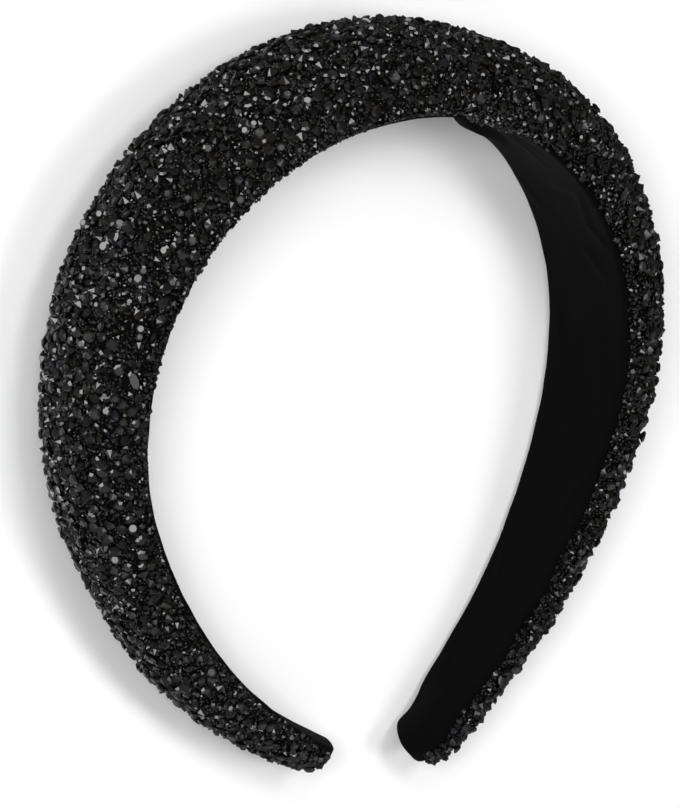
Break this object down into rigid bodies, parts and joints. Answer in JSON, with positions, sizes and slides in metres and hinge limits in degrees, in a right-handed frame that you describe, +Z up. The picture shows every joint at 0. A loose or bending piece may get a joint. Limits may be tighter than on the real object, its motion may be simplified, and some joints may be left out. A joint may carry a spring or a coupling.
{
  "type": "padded crystal headband",
  "caption": "Wide padded C-shaped headband that tapers to two tips, its outside crusted with cut black crystals and its inside lined with plain black cloth.",
  "frame": {"origin": "bottom centre of the bounding box, on the surface that the band lies on", "axes": "+Y from the tips to the crown, +Z up from that surface across the band's width, X from arm to arm"},
  "size_m": [0.1538, 0.172, 0.04],
  "materials": {
    "cover_cloth": "black cloth in black glue under a crust of small black crystals",
    "lining_cloth": "matte black close-woven lining, lightly wrinkled",
    "jet_crystal": "opaque jet-black cut glass, polished facets with a faint blue-grey cast"
  },
  "bodies": {
    "root": {"padded_cover": "cover_cloth", "lining": "lining_cloth", "crystals": "jet_crystal"}
  },
  "joints": []
}
